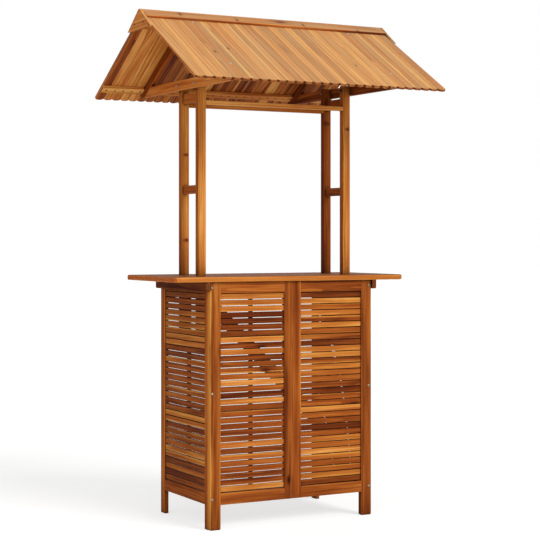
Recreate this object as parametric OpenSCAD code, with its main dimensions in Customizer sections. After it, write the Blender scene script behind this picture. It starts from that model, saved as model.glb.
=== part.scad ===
// Outdoor bar table with a boarded gable roof, in oiled hardwood.
// Millimetres. +Z is up, the bar front faces -Y, the bartender stands on the open +Y side.
// The origin is on the ground, under the middle of the table.

/* [Cabinet] */

// Width of the cabinet over the two side frames
base_w = 784; // [640:4:960]
// Depth of the cabinet from the front panel face to the back of the rear legs
base_d = 488; // [420:4:600]
// Height of the underside of the counter
base_h = 1025; // [880:1:1120]
// Clear height under the bottom rails
foot_h = 102; // [50:1:180]
// Thickness of the side frames
side_t = 18; // [15:0.5:25]
// Thickness of the front panels
panel_t = 24; // [18:0.5:28]
// Width of a front leg seen from the side, behind the front stile
front_leg_w = 26; // [22:1:40]
// Width of a rear leg seen from the side
rear_leg_w = 42; // [30:1:60]
// Height of the top rails of the frames and panels
top_rail_h = 47; // [35:1:70]
// Height of the bottom rails of the frames and panels
bottom_rail_h = 49; // [35:1:70]
// Width of the outer stile of a front panel
outer_stile_w = 50; // [40:1:70]
// Radius of the lower corners of the outer stiles
stile_foot_r = 6; // [1:0.5:12]
// Width of the stile of a front panel at the middle of the bar
centre_stile_w = 40; // [30:1:60]

/* [Slats] */

// Smallest spacing of the slats, which sets how many fill a panel
slat_nominal = 25.6; // [25:0.1:36]
// Height of one slat
slat_h = 23; // [15:0.5:24]
// Thickness of one slat
slat_t = 10; // [8:0.5:12]
// Set-back of the slats from the face of a front panel
panel_recess = 6; // [2:0.5:8]
// Set-back of the slats from the outer face of a side frame
side_recess = 4; // [2:0.5:6]
// Depth of the groove that holds the slat ends
groove_d = 5; // [3:0.5:8]
// Free space at the blind end of a groove or a mortise
end_gap = 0.5; // [0.2:0.1:1]
// Side of the square batten behind the slats
slat_batten = 15; // [10:1:20]

/* [Frame joints] */

// Length of the tenons on the rails of the front panels
panel_tenon = 15; // [8:1:20]
// Length of the tenons on the rails of the side frames
side_tenon = 8; // [6:1:12]
// Thickness of every rail tenon
tenon_t = 8; // [6:0.5:10]
// Shoulder above and below a tenon
tenon_shoulder = 8; // [5:1:12]

/* [Shelves] */

// Depth of the top of the upper shelf below the counter
upper_shelf_drop = 229; // [180:1:320]
// Depth of the top of the lower shelf below the counter
lower_shelf_drop = 549; // [460:1:640]
// Height of a shelf bearer
bearer_h = 62; // [40:1:80]
// Thickness of a shelf bearer
bearer_t = 18; // [15:0.5:24]
// Side of the square batten under the shelf boards
shelf_batten = 18; // [12:1:24]
// Thickness of the shelf boards
shelf_t = 14; // [10:0.5:20]
// Width of one shelf board
shelf_board_w = 82; // [60:1:110]
// Boards in a shelf
shelf_board_n = 2; // [1:1:3]
// Gap between shelf boards
shelf_gap = 5; // [3:0.5:10]

/* [Back] */

// Height of the rail under the counter at the back
rear_rail_h = 80; // [50:1:110]
// Thickness of the rear rail
rear_rail_t = 18; // [15:0.5:24]
// Thickness of the diagonal brace
brace_t = 14; // [10:0.5:20]
// Width of the diagonal brace
brace_w = 58; // [40:1:80]
// Distance of the top of the brace from the middle of the table, to the left
brace_top_x = 272; // [230:1:320]

/* [Counter] */

// Length of the counter
counter_w = 1108; // [900:2:1300]
// Depth of the counter
counter_d = 522; // [460:2:640]
// Thickness of the counter
counter_t = 22; // [16:0.5:30]
// Boards in the counter
counter_board_n = 5; // [3:1:7]
// Open joint between two counter boards
counter_gap = 0.6; // [0.4:0.1:3]
// Radius of the counter corners
counter_r = 30; // [10:1:60]
// Length of the cleats under the counter
cleat_l = 512; // [400:2:520]
// Height of the cleats
cleat_h = 38; // [25:1:50]
// Thickness of the cleats
cleat_t = 20; // [15:0.5:30]
// Radius of the lower corners of the cleats
cleat_r = 9; // [3:1:15]

/* [Posts] */

// Width of a post seen from the front
post_w = 36; // [28:1:50]
// Width of a post seen from the side
post_d = 30; // [22:1:45]
// Depth of the ladder frame over its two posts
ladder_d = 196; // [150:2:260]
// Clearance all round a post where it passes through the counter
notch_gap = 0.4; // [0.2:0.1:1]
// Thickness of the ladder rails
ladder_rail_t = 20; // [14:1:26]
// Height of the upper ladder rail
ladder_top_h = 45; // [35:1:60]
// Depth of the underside of the upper ladder rail below the top of the posts
ladder_top_drop = 100; // [60:1:140]
// Height of the middle ladder rail
ladder_mid_h = 36; // [28:1:50]
// Height of the underside of the middle ladder rail over the counter
ladder_mid_rise = 349; // [250:1:450]
// Height of the two crossbars
crossbar_h = 18; // [15:1:30]
// Depth of the underside of the two crossbars below the top of the posts
crossbar_drop = 111; // [60:1:140]
// Length of the tenons of the ladder rails and crossbars
post_tenon = 10; // [6:1:12]

/* [Roof frame] */

// Height of the table over its ridge
total_h = 2170; // [1950:5:2300]
// Depth of the roof over the eaves
roof_d = 1060; // [900:10:1200]
// Length of the roof boards area along the ridge
roof_w = 1184; // [1000:4:1400]
// Fall of the roof for each unit of depth
roof_fall = 0.6; // [0.45:0.01:0.75]
// Thickness of the rafters and tie beams
truss_t = 18; // [15:0.5:25]
// Depth of a rafter square to the slope
rafter_h = 42; // [30:1:60]
// Distance of the rafter foot from the middle of the table
rafter_foot = 467; // [400:1:500]
// Depth of the underside of the tie beams below the ridge
tie_drop = 330; // [310:1:400]
// Height of the tie beams
tie_h = 43; // [28:1:50]

/* [Roof covering] */

// Nominal width of a roof board, which sets how many lie on a slope
board_nominal = 42; // [36:0.5:60]
// Thickness of the roof boards
board_t = 11; // [8:0.5:16]
// Joint between two roof boards
board_gap = 0.6; // [0.4:0.1:2]
// Depth of the rounded end of a roof board
scallop_d = 11; // [4:0.5:18]
// Thickness of the roof battens
batten_t = 15; // [10:0.5:20]
// Width of the roof battens
batten_w = 36; // [25:1:50]
// Distance down the slope from the ridge to the lower batten
lower_batten_s = 499; // [420:1:540]
// Distance down the slope from the ridge to the upper batten
upper_batten_s = 40; // [25:1:60]
// Thickness of the ridge boards
ridge_t = 11; // [8:0.5:20]
// Distance down the slope from the ridge to the lower edge of a ridge board
ridge_s = 51; // [45:1:90]
// Thickness of the gable plates
gable_t = 12; // [9:0.5:18]
// Half width of a gable plate at its foot
gable_half = 122; // [90:1:150]
// Half width of the flat top of a gable plate
gable_flat = 6; // [3:0.5:12]
// Height of the gable plates
gable_h = 86; // [60:1:120]

/* [Fasteners] */

// Diameter of the bolts
bolt_d = 6; // [5:0.5:8]
// Diameter of the domed bolt heads
head_d = 13; // [10:0.5:16]
// Height of the domed bolt heads
head_h = 3.5; // [2:0.5:5]
// Distance of the panel bolts from the side of the cabinet
panel_bolt_in = 11; // [9:0.5:14]
// Distance of the upper roof bolts below the edge of the ridge boards
roof_bolt_gap = 13; // [9:1:60]
// Distance down the slope from the ridge to the lower roof bolts
roof_bolt_lower_s = 475; // [400:1:490]
// Length of the roof bolts
roof_bolt_l = 45; // [30:1:50]
// Diameter of the wood screws
screw_d = 4; // [3:0.5:5]
// Diameter of the screw heads
screw_head_d = 8; // [6:0.5:9]
// Height of the screw heads
screw_head_h = 1.5; // [1:0.5:2.5]
// Depth of the batten screws in a roof board
screw_bite = 8; // [4:0.5:9]
// Clearance round a bolt or screw
bolt_fit = 0.1; // [0.05:0.05:0.4]

/* [Hidden] */

half_w = base_w / 2;
half_d = base_d / 2;
inner_x = half_w - side_t;
panel_back = panel_t - half_d;
front_leg_back = panel_back + front_leg_w;
rear_leg_front = half_d - rear_leg_w;
top_rail_z = base_h - top_rail_h;
upper_shelf_z = base_h - upper_shelf_drop;
lower_shelf_z = base_h - lower_shelf_drop;
brace_sum = base_h - brace_top_x;
bottom_rail_top = foot_h + bottom_rail_h;
field_h = top_rail_z - bottom_rail_top;
slat_n = floor((field_h + slat_h) / slat_nominal) - 1;
slat_pitch = (field_h + slat_h) / (slat_n + 1);
slat_gap = slat_pitch - slat_h;
panel_slat_y = panel_recess - half_d;
side_slat_x = half_w - side_recess;
panel_field_out = half_w - outer_stile_w;
panel_field_mid = (panel_field_out + centre_stile_w) / 2;
rear_rail_y = half_d - rear_rail_t;
brace_y = rear_rail_y - brace_t;
shelf_front = panel_slat_y + slat_t + slat_batten;
post_x = inner_x;
post_in_x = inner_x - post_w;
ladder_half = ladder_d / 2;
ladder_in = ladder_half - post_d;
post_mid_y = ladder_half - post_d / 2;
post_mid_x = inner_x - post_w / 2;
counter_top = base_h + counter_t;
counter_board_w = (counter_d - (counter_board_n - 1) * counter_gap) / counter_board_n;
roof_angle = atan(roof_fall);
roof_cos = cos(roof_angle);
roof_sin = sin(roof_angle);
board_apex = total_h - ridge_t / roof_cos;
roof_bolt_upper_s = ridge_s + roof_bolt_gap;
under_apex = board_apex - board_t / roof_cos;
rafter_apex = under_apex - rafter_h / roof_cos;
board_end_s = (roof_d / 2 - board_t * roof_sin) / roof_cos;
board_start_s = 3;
board_n = 2 * floor(roof_w / 2 / board_nominal) + 1;
board_w = (roof_w - (board_n - 1) * board_gap) / board_n;
board_pitch = board_w + board_gap;
roof_half = roof_w / 2;
truss_in = inner_x;
truss_out = inner_x + truss_t;
truss_mid = inner_x + truss_t / 2;
tie_z = total_h - tie_drop;
tie_top = tie_z + tie_h;
post_top = tie_top;
ladder_top_z = post_top - ladder_top_drop;
ladder_mid_z = counter_top + ladder_mid_rise;
crossbar_z = post_top - crossbar_drop;
gable_top = total_h - 1;
gable_z = gable_top - gable_h;
tie_foot_y = (rafter_apex - tie_z) / roof_fall;
tie_top_y = (rafter_apex - tie_top) / roof_fall;
tie_bolt_z = tie_z + tie_h / 2;
panel_bolt_l = panel_t + front_leg_w - side_tenon - 4;
post_bolt_z = base_h - top_rail_h / 2;
post_bolt_l = post_w + side_t / 2;
batten_screw_s = lower_batten_s + batten_w / 2;
gable_screw_y = (upper_batten_s + batten_w / 2) * roof_cos - batten_t / 2 * roof_sin;
gable_screw_z = under_apex - gable_screw_y * roof_fall - batten_t / 2 / roof_cos;
gable_low_y = 101;
gable_low_z = board_apex - gable_low_y * roof_fall - board_t / 2 / roof_cos;
gable_screw_l = gable_t + 18;
fine = 24;
small = 12;

oak = [0.66, 0.36, 0.16];
amber = [0.74, 0.44, 0.20];
russet = [0.56, 0.28, 0.13];
honey = [0.80, 0.56, 0.32];
steel = [0.45, 0.43, 0.38];

// Box given by its lowest corner and its highest corner
module span(a, b) {
    translate(a) cube([b[0] - a[0], b[1] - a[1], b[2] - a[2]]);
}

// The same piece on the left (-1) or the right (+1) of the table
module on_side(side) {
    if (side > 0) children();
    else mirror([1, 0, 0]) children();
}

// The same piece on the rear slope (+1) or the front slope (-1), with X along the ridge,
// Y down the slope and Z out of the underside of the roof boards
module on_slope(slope) {
    rotate([0, 0, slope > 0 ? 0 : 180])
        translate([0, 0, under_apex])
            rotate([-roof_angle, 0, 0])
                children();
}

// Profile drawn in Y and Z, extruded from x0 to x1
module along_x(x0, x1) {
    translate([x0, 0, 0])
        rotate([90, 0, 90])
            linear_extrude(x1 - x0)
                children();
}

// Bolt along +Z from the seat of its domed head
module bolt(l) {
    translate([0, 0, -head_h / 2 + 0.01])
        rotate_extrude($fn = fine)
            polygon([
                [0, -head_h / 2], [head_d * 0.32, -head_h * 0.36],
                [head_d / 2, head_h * 0.2], [head_d / 2, head_h / 2],
                [bolt_d / 2, head_h / 2], [bolt_d / 2, l + head_h / 2], [0, l + head_h / 2]
            ]);
}

// Hole for a bolt or screw of diameter d along +Z, slightly deeper than its tip
module hole(d, l) {
    translate([0, 0, -1]) cylinder(h = l + 1 + end_gap, d = d + 2 * bolt_fit, $fn = fine);
}

// Wood screw along +Z from the seat of its head, twelve-sided because there are so many
module screw(l) {
    translate([0, 0, -screw_head_h])
        cylinder(h = screw_head_h, d = screw_head_d, $fn = small);
    translate([0, 0, -screw_head_h / 2])
        cylinder(h = l + screw_head_h / 2, d = screw_d, $fn = small);
}

// Hole for a wood screw along +Z
module screw_hole(l) {
    translate([0, 0, -1]) cylinder(h = l + 1 + end_gap, d = screw_d + 2 * bolt_fit, $fn = small);
}

// Heights of the three panel bolts on one side
function panel_bolt_z() = [base_h - top_rail_h / 2, (base_h + foot_h) / 2, foot_h + bottom_rail_h / 2];

module at_panel_bolts() {
    for (z = panel_bolt_z())
        translate([half_w - panel_bolt_in, -half_d, z])
            rotate([-90, 0, 0])
                children();
}

// Left (-1) or right (+1) front leg of a side frame, behind the front stile
module front_leg(side) {
    on_side(side) difference() {
        span([inner_x, panel_back, 0], [half_w, front_leg_back, base_h]);
        span([side_slat_x - slat_t, front_leg_back - groove_d, bottom_rail_top],
             [side_slat_x, front_leg_back + 1, top_rail_z]);
        side_mortise(front_leg_back - side_tenon - end_gap, front_leg_back + 1);
        at_panel_bolts() hole(bolt_d, panel_bolt_l);
    }
}

// Left or right rear leg of a side frame
module rear_leg(side) {
    on_side(side) difference() {
        span([inner_x, rear_leg_front, 0], [half_w, half_d, base_h]);
        span([side_slat_x - slat_t, rear_leg_front - 1, bottom_rail_top],
             [side_slat_x, rear_leg_front + groove_d, top_rail_z]);
        side_mortise(rear_leg_front - 1, rear_leg_front + side_tenon + end_gap);
    }
}

// Mortises for the tenons of the two rails of a side frame
module side_mortise(y0, y1) {
    x0 = half_w - side_t / 2 - tenon_t / 2;
    span([x0, y0, top_rail_z + tenon_shoulder], [x0 + tenon_t, y1, base_h - tenon_shoulder]);
    span([x0, y0, foot_h + tenon_shoulder], [x0 + tenon_t, y1, bottom_rail_top - tenon_shoulder]);
}

// Rail of a side frame with a tenon at each end
module side_rail(side, z0, z1) {
    x0 = half_w - side_t / 2 - tenon_t / 2;
    on_side(side) difference() {
        union() {
            span([inner_x, front_leg_back, z0], [half_w, rear_leg_front, z1]);
            span([x0, front_leg_back - side_tenon, z0 + tenon_shoulder],
                 [x0 + tenon_t, rear_leg_front + side_tenon, z1 - tenon_shoulder]);
        }
        at_post_bolts() hole(bolt_d, post_bolt_l);
    }
}

// Slats of a side frame, their ends in the grooves of the legs
module side_slats(side) {
    on_side(side)
        for (i = [0 : slat_n - 1])
            span([side_slat_x - slat_t, front_leg_back - groove_d + end_gap,
                  bottom_rail_top + slat_gap + i * slat_pitch],
                 [side_slat_x, rear_leg_front + groove_d - end_gap,
                  bottom_rail_top + slat_gap + i * slat_pitch + slat_h]);
}

// Upright batten that the side slats are nailed to
module side_batten(side) {
    x1 = side_slat_x - slat_t;
    on_side(side)
        span([x1 - slat_batten, -slat_batten / 2, bottom_rail_top],
             [x1, slat_batten / 2, top_rail_z]);
}

// Outer stile of a front panel, down to the ground as the front of the leg
module outer_stile(side) {
    on_side(side) difference() {
        outer_stile_body();
        panel_groove(panel_field_out - 1, panel_field_out + groove_d);
        panel_mortise(panel_field_out - 1, panel_field_out + panel_tenon + end_gap);
        at_panel_bolts() hole(bolt_d, panel_bolt_l);
    }
}

// Outer stile before its joints are cut, with rounded lower corners
module outer_stile_body() {
    translate([0, panel_back, 0])
        rotate([90, 0, 0])
            linear_extrude(panel_t)
                hull() {
                    translate([panel_field_out, base_h - 1]) square([outer_stile_w, 1]);
                    for (x = [panel_field_out + stile_foot_r, half_w - stile_foot_r])
                        translate([x, stile_foot_r]) circle(r = stile_foot_r, $fn = fine);
                }
}

// Stile of a front panel at the middle of the bar
module centre_stile(side) {
    on_side(side) difference() {
        span([0, -half_d, foot_h], [centre_stile_w, panel_back, base_h]);
        panel_groove(centre_stile_w - groove_d, centre_stile_w + 1);
        panel_mortise(centre_stile_w - panel_tenon - end_gap, centre_stile_w + 1);
    }
}

module panel_groove(x0, x1) {
    span([x0, panel_slat_y, bottom_rail_top], [x1, panel_slat_y + slat_t, top_rail_z]);
}

module panel_mortise(x0, x1) {
    y0 = panel_back - panel_t / 2 - tenon_t / 2;
    span([x0, y0, top_rail_z + tenon_shoulder], [x1, y0 + tenon_t, base_h - tenon_shoulder]);
    span([x0, y0, foot_h + tenon_shoulder], [x1, y0 + tenon_t, bottom_rail_top - tenon_shoulder]);
}

// Rail of a front panel with a tenon at each end
module panel_rail(side, z0, z1) {
    y0 = panel_back - panel_t / 2 - tenon_t / 2;
    on_side(side) union() {
        span([centre_stile_w, -half_d, z0], [panel_field_out, panel_back, z1]);
        span([centre_stile_w - panel_tenon, y0, z0 + tenon_shoulder],
             [panel_field_out + panel_tenon, y0 + tenon_t, z1 - tenon_shoulder]);
    }
}

module panel_slats(side) {
    on_side(side)
        for (i = [0 : slat_n - 1])
            span([centre_stile_w - groove_d + end_gap, panel_slat_y,
                  bottom_rail_top + slat_gap + i * slat_pitch],
                 [panel_field_out + groove_d - end_gap, panel_slat_y + slat_t,
                  bottom_rail_top + slat_gap + i * slat_pitch + slat_h]);
}

module panel_batten(side) {
    y0 = panel_slat_y + slat_t;
    on_side(side)
        span([panel_field_mid - slat_batten / 2, y0, bottom_rail_top],
             [panel_field_mid + slat_batten / 2, y0 + slat_batten, top_rail_z]);
}

// Bearer on the inside of a side frame, notched round the slat batten
module bearer(side, top_z) {
    on_side(side) difference() {
        span([inner_x - bearer_t, panel_back, top_z - bearer_h], [inner_x, brace_y, top_z]);
        span([side_slat_x - slat_t - slat_batten - end_gap, -slat_batten / 2 - end_gap,
              top_z - bearer_h - 1],
             [inner_x + 1, slat_batten / 2 + end_gap, top_z + 1]);
    }
}

shelf_d = shelf_board_n * shelf_board_w + (shelf_board_n - 1) * shelf_gap;

module shelf_end_batten(side, top_z) {
    x1 = inner_x - bearer_t;
    on_side(side)
        span([x1 - shelf_batten, shelf_front + 4, top_z - shelf_t - shelf_batten],
             [x1, shelf_front + shelf_d, top_z - shelf_t]);
}

module shelf_boards(top_z) {
    x1 = inner_x - bearer_t;
    for (i = [0 : shelf_board_n - 1])
        span([-x1, shelf_front + i * (shelf_board_w + shelf_gap), top_z - shelf_t],
             [x1, shelf_front + i * (shelf_board_w + shelf_gap) + shelf_board_w, top_z]);
}

// Outline of the counter with its rounded corners
module counter_outline() {
    hull()
        for (x = [-1, 1], y = [-1, 1])
            translate([x * (counter_w / 2 - counter_r), y * (counter_d / 2 - counter_r)])
                circle(r = counter_r, $fn = 32);
}

module counter_board(i) {
    y0 = -counter_d / 2 + i * (counter_board_w + counter_gap);
    translate([0, 0, base_h])
        linear_extrude(counter_t)
            difference() {
                intersection() {
                    counter_outline();
                    translate([-counter_w / 2, y0]) square([counter_w, counter_board_w]);
                }
                for (x = [-1, 1], y = [-1, 1])
                    translate([x * post_mid_x, y * post_mid_y])
                        square([post_w + 2 * notch_gap, post_d + 2 * notch_gap], center = true);
            }
}

module counter_cleat(side) {
    on_side(side)
        along_x(half_w, half_w + cleat_t)
            hull() {
                translate([-cleat_l / 2, base_h - 1]) square([cleat_l, 1]);
                for (y = [-1, 1])
                    translate([y * (cleat_l / 2 - cleat_r), base_h - cleat_h + cleat_r])
                        circle(r = cleat_r, $fn = fine);
            }
}

module at_post_bolts() {
    for (y = [-1, 1])
        translate([post_in_x, y * post_mid_y, post_bolt_z])
            rotate([0, 90, 0])
                children();
}

module at_tie_bolts() {
    for (y = [-1, 1])
        translate([truss_out, y * post_mid_y, tie_bolt_z])
            rotate([0, -90, 0])
                children();
}

// Post of a ladder frame: side is left or right, end is front (-1) or rear (+1)
module post(side, end) {
    on_side(side) difference() {
        span([post_in_x, end > 0 ? ladder_in : -ladder_half, upper_shelf_z],
             [post_x, end > 0 ? ladder_half : -ladder_in, post_top]);
        ladder_tenons(end_gap);
        crossbar_tenon(end, end_gap);
        at_post_bolts() hole(bolt_d, post_bolt_l);
        at_tie_bolts() translate([0, 0, -1]) cylinder(h = 80, d = bolt_d + 2 * bolt_fit, $fn = fine);
    }
}

// Both rails of a ladder frame reduced to their tenons, longer by extra at each end
module ladder_tenons(extra) {
    half_y = ladder_in + post_tenon + extra;
    x0 = post_mid_x - tenon_t / 2;
    span([x0, -half_y, ladder_top_z + tenon_shoulder],
         [x0 + tenon_t, half_y, ladder_top_z + ladder_top_h - tenon_shoulder]);
    span([x0, -half_y, ladder_mid_z + tenon_shoulder],
         [x0 + tenon_t, half_y, ladder_mid_z + ladder_mid_h - tenon_shoulder]);
}

module ladder_rails(side) {
    on_side(side) union() {
        span([post_mid_x - ladder_rail_t / 2, -ladder_in, ladder_top_z],
             [post_mid_x + ladder_rail_t / 2, ladder_in, ladder_top_z + ladder_top_h]);
        span([post_mid_x - ladder_rail_t / 2, -ladder_in, ladder_mid_z],
             [post_mid_x + ladder_rail_t / 2, ladder_in, ladder_mid_z + ladder_mid_h]);
        ladder_tenons(0);
    }
}

// Tenon of a crossbar in a post on the right of the table, longer by extra
module crossbar_tenon(end, extra) {
    y0 = end > 0 ? ladder_in : -ladder_half;
    span([post_in_x - 1, y0 + 6, crossbar_z + 3],
         [post_in_x + post_tenon + extra, y0 + post_d - 6, crossbar_z + crossbar_h - 3]);
}

module crossbar(end) {
    y0 = end > 0 ? ladder_in : -ladder_half;
    union() {
        span([-post_in_x, y0, crossbar_z], [post_in_x, y0 + post_d, crossbar_z + crossbar_h]);
        crossbar_tenon(end, 0);
        mirror([1, 0, 0]) crossbar_tenon(end, 0);
    }
}

module tie_beam(side) {
    on_side(side) difference() {
        along_x(truss_in, truss_out)
            polygon([[-tie_foot_y, tie_z], [tie_foot_y, tie_z],
                     [tie_top_y, tie_top], [-tie_top_y, tie_top]]);
        at_tie_bolts() translate([0, 0, -1]) cylinder(h = 80, d = bolt_d + 2 * bolt_fit, $fn = fine);
    }
}

module rafter(side, end) {
    on_side(side) difference() {
        mirror([0, end > 0 ? 0 : 1, 0])
            along_x(truss_in, truss_out)
                polygon([[0, under_apex], [0, rafter_apex], [tie_foot_y, tie_z],
                         [rafter_foot, tie_z], [rafter_foot, under_apex - rafter_foot * roof_fall]]);
        at_roof_bolts(end) hole(bolt_d, roof_bolt_l);
    }
}

// Seats of the roof bolts on one slope, pointing into the rafters
module at_roof_bolts(end) {
    on_slope(end)
        for (x = [-1, 1], s = [roof_bolt_upper_s, roof_bolt_lower_s])
            translate([x * truss_mid, s, board_t])
                rotate([180, 0, 0])
                    children();
}

// Seats of the batten screws on one slope, pointing up into the roof boards
module at_batten_screws(end) {
    on_slope(end)
        for (i = [0 : board_n - 1])
            translate([(i - (board_n - 1) / 2) * board_pitch, batten_screw_s, -batten_t])
                children();
}

// Seats of the gable screws on the right, pointing into the roof
module at_gable_screws() {
    for (p = [[gable_screw_y, gable_screw_z], [-gable_screw_y, gable_screw_z],
              [-gable_low_y, gable_low_z]])
        translate([roof_half + gable_t, p[0], p[1]])
            rotate([0, -90, 0])
                children();
}

module roof_board(x) {
    translate([x, 0, 0])
        linear_extrude(board_t)
            union() {
                translate([-board_w / 2, board_start_s])
                    square([board_w, board_end_s - scallop_d - board_start_s]);
                translate([0, board_end_s - scallop_d])
                    scale([1, scallop_d / (board_w / 2)])
                        circle(d = board_w, $fn = fine);
            }
}

module roof_boards(end) {
    difference() {
        on_slope(end)
            for (i = [0 : board_n - 1])
                roof_board((i - (board_n - 1) / 2) * board_pitch);
        at_batten_screws(end) screw_hole(batten_t + screw_bite);
        at_roof_bolts(end) hole(bolt_d, roof_bolt_l);
        at_gable_screws() screw_hole(gable_screw_l);
        mirror([1, 0, 0]) at_gable_screws() screw_hole(gable_screw_l);
    }
}

// Batten in three lengths, cut where the rafters pass
module roof_batten(s) {
    for (x = [[-roof_half, -truss_out], [-truss_in, truss_in], [truss_out, roof_half]])
        translate([x[0], s, -batten_t]) cube([x[1] - x[0], batten_w, batten_t]);
}

module roof_battens(end) {
    difference() {
        on_slope(end) union() {
            roof_batten(upper_batten_s);
            roof_batten(lower_batten_s);
        }
        at_batten_screws(end) screw_hole(batten_t + screw_bite);
        at_gable_screws() screw_hole(gable_screw_l);
        mirror([1, 0, 0]) at_gable_screws() screw_hole(gable_screw_l);
    }
}

module ridge_board(end) {
    y1 = ridge_s * roof_cos + board_t * roof_sin;
    z1 = under_apex - ridge_s * roof_sin + board_t * roof_cos;
    y2 = y1 + ridge_t * roof_sin;
    z2 = z1 + ridge_t * roof_cos;
    mirror([0, end > 0 ? 0 : 1, 0])
        along_x(-roof_half, roof_half)
            polygon([[0, board_apex], [y1, z1], [y2, z2], [0, total_h]]);
}

module gable_plate(side) {
    on_side(side) difference() {
        along_x(roof_half, roof_half + gable_t)
            polygon([[-gable_half, gable_z], [gable_half, gable_z],
                     [gable_flat, gable_top], [-gable_flat, gable_top]]);
        at_gable_screws() screw_hole(gable_screw_l);
    }
}

module left_front_leg() { color(oak) front_leg(-1); }
module right_front_leg() { color(oak) front_leg(1); }
module left_rear_leg() { color(oak) rear_leg(-1); }
module right_rear_leg() { color(oak) rear_leg(1); }
module left_side_top_rail() { color(russet) side_rail(-1, top_rail_z, base_h); }
module right_side_top_rail() { color(russet) side_rail(1, top_rail_z, base_h); }
module left_side_bottom_rail() { color(russet) side_rail(-1, foot_h, bottom_rail_top); }
module right_side_bottom_rail() { color(russet) side_rail(1, foot_h, bottom_rail_top); }
module left_side_slats() { color(russet) side_slats(-1); }
module right_side_slats() { color(russet) side_slats(1); }
module left_side_batten() { color(oak) side_batten(-1); }
module right_side_batten() { color(oak) side_batten(1); }
module left_outer_stile() { color(oak) outer_stile(-1); }
module right_outer_stile() { color(oak) outer_stile(1); }
module left_centre_stile() { color(oak) centre_stile(-1); }
module right_centre_stile() { color(oak) centre_stile(1); }
module left_panel_top_rail() { color(oak) panel_rail(-1, top_rail_z, base_h); }
module right_panel_top_rail() { color(oak) panel_rail(1, top_rail_z, base_h); }
module left_panel_bottom_rail() { color(oak) panel_rail(-1, foot_h, bottom_rail_top); }
module right_panel_bottom_rail() { color(oak) panel_rail(1, foot_h, bottom_rail_top); }
module left_panel_slats() { color(amber) panel_slats(-1); }
module right_panel_slats() { color(amber) panel_slats(1); }
module left_panel_batten() { color(oak) panel_batten(-1); }
module right_panel_batten() { color(oak) panel_batten(1); }

module shelf_bearers() {
    color(oak)
        for (side = [-1, 1], z = [upper_shelf_z, lower_shelf_z])
            bearer(side, z);
}

module shelf_battens() {
    color(oak)
        for (side = [-1, 1], z = [upper_shelf_z, lower_shelf_z])
            shelf_end_batten(side, z);
}

module upper_shelf_boards() { color(amber) shelf_boards(upper_shelf_z); }
module lower_shelf_boards() { color(amber) shelf_boards(lower_shelf_z); }

module rear_top_rail() {
    color(oak)
        span([-inner_x, rear_rail_y, base_h - rear_rail_h], [inner_x, half_d, base_h]);
}

module rear_brace() {
    low = brace_sum - brace_w * sqrt(2) / 2;
    high = brace_sum + brace_w * sqrt(2) / 2;
    color(oak)
        translate([0, rear_rail_y, 0])
            rotate([90, 0, 0])
                linear_extrude(brace_t)
                    polygon([[low - base_h, base_h], [high - base_h, base_h],
                             [inner_x, high - inner_x], [inner_x, low - inner_x]]);
}

module counter_boards() {
    color(amber)
        for (i = [0 : counter_board_n - 1])
            counter_board(i);
}

module left_counter_cleat() { color(russet) counter_cleat(-1); }
module right_counter_cleat() { color(russet) counter_cleat(1); }
module left_front_post() { color(oak) post(-1, -1); }
module left_rear_post() { color(oak) post(-1, 1); }
module right_front_post() { color(oak) post(1, -1); }
module right_rear_post() { color(oak) post(1, 1); }
module left_ladder_rails() { color(oak) ladder_rails(-1); }
module right_ladder_rails() { color(oak) ladder_rails(1); }
module front_crossbar() { color(amber) crossbar(-1); }
module rear_crossbar() { color(amber) crossbar(1); }
module left_tie_beam() { color(oak) tie_beam(-1); }
module right_tie_beam() { color(oak) tie_beam(1); }
module left_front_rafter() { color(russet) rafter(-1, -1); }
module left_rear_rafter() { color(russet) rafter(-1, 1); }
module right_front_rafter() { color(russet) rafter(1, -1); }
module right_rear_rafter() { color(russet) rafter(1, 1); }
module front_roof_boards() { color(honey) roof_boards(-1); }
module rear_roof_boards() { color(honey) roof_boards(1); }
module front_roof_battens() { color(amber) roof_battens(-1); }
module rear_roof_battens() { color(amber) roof_battens(1); }
module front_ridge_board() { color(honey) ridge_board(-1); }
module rear_ridge_board() { color(honey) ridge_board(1); }
module left_gable_plate() { color(honey) gable_plate(-1); }
module right_gable_plate() { color(honey) gable_plate(1); }

module panel_bolts() {
    color(steel)
        for (side = [-1, 1])
            on_side(side) at_panel_bolts() bolt(panel_bolt_l);
}

// Bolts that hold the posts to the side frames below and to the tie beams above
module post_bolts() {
    color(steel)
        for (side = [-1, 1])
            on_side(side) {
                at_post_bolts() bolt(post_bolt_l - 1);
                at_tie_bolts() bolt(truss_t + post_w + 8);
            }
}

module roof_bolts() {
    color(steel)
        for (end = [-1, 1])
            at_roof_bolts(end) bolt(roof_bolt_l);
}

module roof_screws() {
    color(steel) {
        for (end = [-1, 1])
            at_batten_screws(end) screw(batten_t + screw_bite);
        at_gable_screws() screw(gable_screw_l);
        mirror([1, 0, 0]) at_gable_screws() screw(gable_screw_l);
    }
}

left_front_leg();
left_rear_leg();
left_side_top_rail();
left_side_bottom_rail();
left_side_slats();
left_side_batten();
right_front_leg();
right_rear_leg();
right_side_top_rail();
right_side_bottom_rail();
right_side_slats();
right_side_batten();
left_outer_stile();
left_centre_stile();
left_panel_top_rail();
left_panel_bottom_rail();
left_panel_slats();
left_panel_batten();
right_outer_stile();
right_centre_stile();
right_panel_top_rail();
right_panel_bottom_rail();
right_panel_slats();
right_panel_batten();
shelf_bearers();
shelf_battens();
upper_shelf_boards();
lower_shelf_boards();
rear_top_rail();
rear_brace();
counter_boards();
left_counter_cleat();
right_counter_cleat();
left_front_post();
left_rear_post();
right_front_post();
right_rear_post();
left_ladder_rails();
right_ladder_rails();
front_crossbar();
rear_crossbar();
left_tie_beam();
right_tie_beam();
left_front_rafter();
left_rear_rafter();
right_front_rafter();
right_rear_rafter();
front_roof_boards();
rear_roof_boards();
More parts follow.
